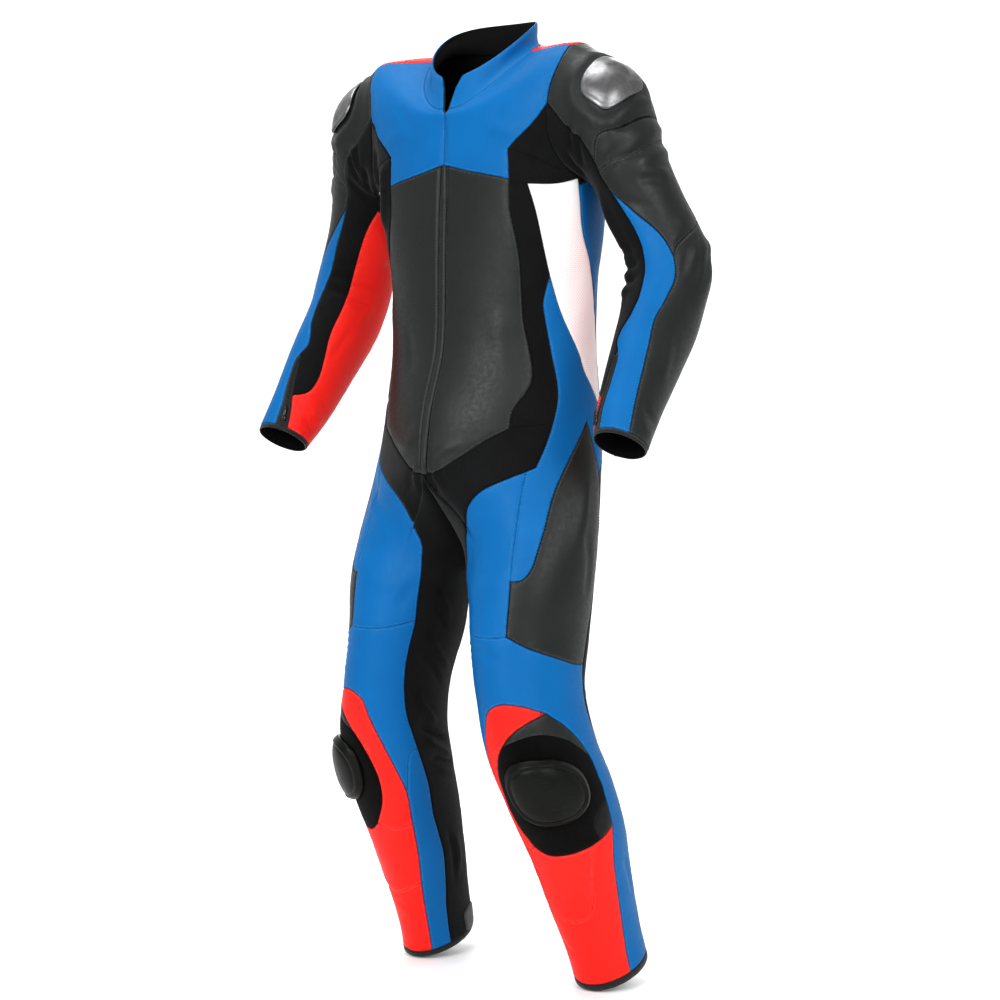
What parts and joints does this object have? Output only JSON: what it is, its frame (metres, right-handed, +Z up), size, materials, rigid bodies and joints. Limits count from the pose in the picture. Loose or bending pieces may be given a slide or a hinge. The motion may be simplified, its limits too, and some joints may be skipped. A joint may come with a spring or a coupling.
{
  "type": "motorcycle race suit",
  "caption": "One-piece leather motorcycle race suit, hollow and in worn pose, with standing collar, front zip, knee sliders and hard shoulder plates.",
  "frame": {"origin": "midway between the wearer's shoulders at the root of the neck, inside the suit, where the wearer carries it", "axes": "-Y is the front, +X the wearer's left, +Z up"},
  "size_m": [0.7406, 0.313, 1.4926],
  "materials": {
    "blue_leather": "smooth grained leather, satin",
    "red_leather": "smooth grained leather, satin",
    "charcoal_leather": "smooth grained leather, satin",
    "white_leather": "perforated leather",
    "black_stretch": "matt stretch weave",
    "slider_plastic": "moulded, satin",
    "brushed_metal": "satin",
    "zip_black": "woven tape and bound edge"
  },
  "bodies": {
    "root": {"abdomen_left": "charcoal_leather", "abdomen_right": "charcoal_leather", "arm_red_left": "red_leather", "arm_red_right": "red_leather", "arm_stretch_left": "black_stretch", "arm_stretch_right": "black_stretch", "arm_strip_left": "blue_leather", "arm_strip_right": "blue_leather", "back_centre": "charcoal_leather", "back_side_left": "blue_leather", "back_side_right": "blue_leather", "back_yoke": "red_leather", "calf_inner_left": "blue_leather", "calf_inner_right": "blue_leather", "chest_yoke_left": "blue_leather", "chest_yoke_right": "blue_leather", "collar": "blue_leather", "collar_facing": "black_stretch", "cuff_left": "zip_black", "cuff_right": "zip_black", "forearm_left": "charcoal_leather", "forearm_right": "charcoal_leather", "front_zip": "zip_black", "hip_band_left": "blue_leather", "hip_band_right": "blue_leather", "knee_arch_left": "blue_leather", "knee_arch_right": "blue_leather", "knee_base_left": "black_stretch", "knee_base_right": "black_stretch", "knee_red_left": "red_leather", "knee_red_right": "red_leather", "knee_slider_left": "slider_plastic", "knee_slider_right": "slider_plastic", "leg_hem_left": "zip_black", "leg_hem_right": "zip_black", "leg_inner_left": "black_stretch", "leg_inner_right": "black_stretch", "seat": "charcoal_leather", "shin_left": "red_leather", "shin_right": "red_leather", "shoulder_cap_left": "charcoal_leather", "shoulder_cap_right": "charcoal_leather", "shoulder_plate_left": "brushed_metal", "shoulder_plate_right": "brushed_metal", "shoulder_stretch_left": "black_stretch", "shoulder_stretch_right": "black_stretch", "side_panel_left": "white_leather", "side_panel_right": "white_leather", "side_stretch_left": "black_stretch", "side_stretch_right": "black_stretch", "thigh_back_left": "black_stretch", "thigh_back_right": "black_stretch", "thigh_front_left": "blue_leather", "thigh_front_right": "blue_leather", "thigh_side_left": "charcoal_leather", "thigh_side_right": "charcoal_leather", "upper_arm_left": "charcoal_leather", "upper_arm_right": "charcoal_leather", "wrist_zip_left": "zip_black", "wrist_zip_right": "zip_black"}
  },
  "joints": []
}
